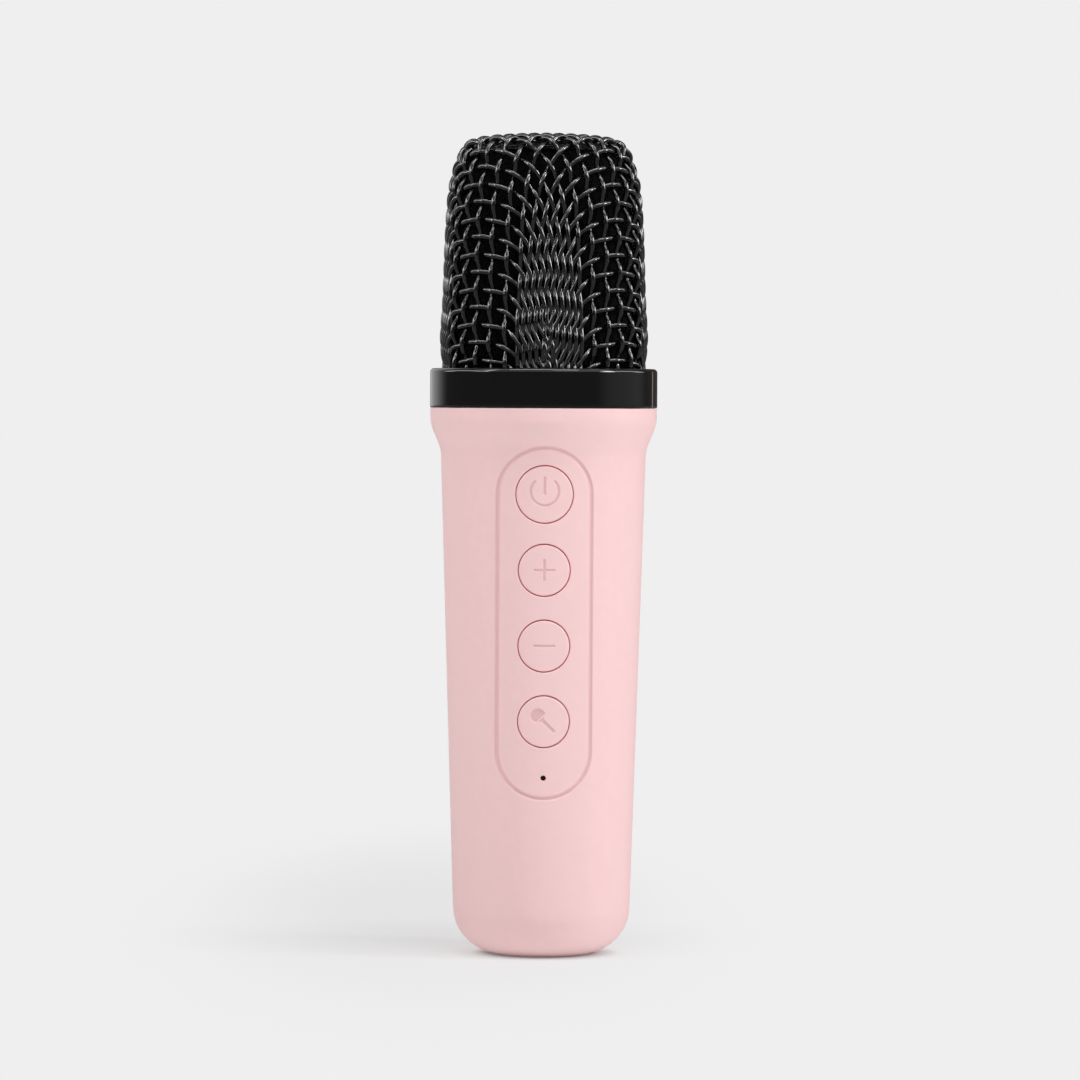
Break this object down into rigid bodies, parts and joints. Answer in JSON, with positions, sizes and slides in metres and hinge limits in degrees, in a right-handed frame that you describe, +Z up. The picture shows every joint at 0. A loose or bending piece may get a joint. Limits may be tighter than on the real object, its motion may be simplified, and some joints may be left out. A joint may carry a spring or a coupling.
{
  "type": "karaoke microphone",
  "caption": "Cordless hand-held karaoke microphone: woven-wire head with a flat crown, gloss collar, and a tapered soft-touch handle with push buttons and a lamp on its front.",
  "frame": {"origin": "centre of the flat base, on the surface that the microphone stands on", "axes": "+Z up the handle's axis to the crown, -Y the front with the buttons, +X to the right seen from the front"},
  "size_m": [0.046, 0.046, 0.166],
  "materials": {
    "wire_cloth": "gloss",
    "crown_gloss": "gloss",
    "foam": "matte",
    "pad_foam": "matte",
    "collar_gloss": "gloss",
    "soft_touch": "matte",
    "button_soft_touch": "matte",
    "plated_steel": "satin",
    "screw_steel": "satin",
    "frame_plastic": "matte",
    "rubber_mount": "matte",
    "copper_wire": "satin",
    "film": "gloss",
    "cell_wrap": "satin",
    "lead_red": "satin",
    "lead_black": "satin",
    "board_green": "satin",
    "switch_housing": "satin",
    "white_plastic": "satin",
    "chip": "satin",
    "clear_lens": "gloss"
  },
  "bodies": {
    "microphone": {"grille_mesh": "wire_cloth", "crown_disc": "crown_gloss", "foam_windscreen": "foam", "battery_pad": "pad_foam", "collar_ring": "collar_gloss", "handle_shell": "soft_touch", "grille_hem_ring": "plated_steel", "capsule_basket": "plated_steel", "capsule_magnet": "plated_steel", "capsule_front_grid": "plated_steel", "usb_shell": "plated_steel", "crystal": "plated_steel", "head_screw_1": "screw_steel", "head_screw_2": "screw_steel", "head_screw_3": "screw_steel", "chassis_screw_left": "screw_steel", "chassis_screw_right": "screw_steel", "board_screw_top": "screw_steel", "board_screw_bottom": "screw_steel", "usb_screw_front": "screw_steel", "usb_screw_back": "screw_steel", "head_plate": "frame_plastic", "chassis_sled": "frame_plastic", "capsule_boot": "rubber_mount", "capsule_voice_coil": "copper_wire", "capsule_diaphragm": "film", "battery_cell": "cell_wrap", "battery_lead_red": "lead_red", "capsule_lead_hot": "lead_red", "battery_lead_black": "lead_black", "capsule_lead_cold": "lead_black", "usb_lead": "lead_black", "main_board": "board_green", "usb_board": "board_green", "switch_power": "switch_housing", "switch_volume_up": "switch_housing", "switch_volume_down": "switch_housing", "switch_voice": "switch_housing", "battery_connector": "white_plastic", "capsule_connector": "white_plastic", "antenna": "white_plastic", "radio_chip": "chip", "audio_chip": "chip", "charge_chip": "chip", "power_inductor": "chip", "usb_tongue": "chip", "light_pipe": "clear_lens", "status_led": "clear_lens"},
    "key_power": {"button_power": "button_soft_touch", "plunger_power": "white_plastic"},
    "key_volume_up": {"button_volume_up": "button_soft_touch", "plunger_volume_up": "white_plastic"},
    "key_volume_down": {"button_volume_down": "button_soft_touch", "plunger_volume_down": "white_plastic"},
    "key_voice": {"button_voice": "button_soft_touch", "plunger_voice": "white_plastic"}
  },
  "joints": [
    {"name": "press_power", "type": "slide", "parent": "microphone", "child": "key_power", "axis": [0, 1, 0], "range_m": [0, 0.0005], "stiffness_N_per_m": 1200, "springref_m": -0.0008},
    {"name": "press_volume_up", "type": "slide", "parent": "microphone", "child": "key_volume_up", "axis": [0, 1, 0], "range_m": [0, 0.0005], "stiffness_N_per_m": 1200, "springref_m": -0.0008},
    {"name": "press_volume_down", "type": "slide", "parent": "microphone", "child": "key_volume_down", "axis": [0, 1, 0], "range_m": [0, 0.0005], "stiffness_N_per_m": 1200, "springref_m": -0.0008},
    {"name": "press_voice", "type": "slide", "parent": "microphone", "child": "key_voice", "axis": [0, 1, 0], "range_m": [0, 0.0005], "stiffness_N_per_m": 1200, "springref_m": -0.0008}
  ]
}
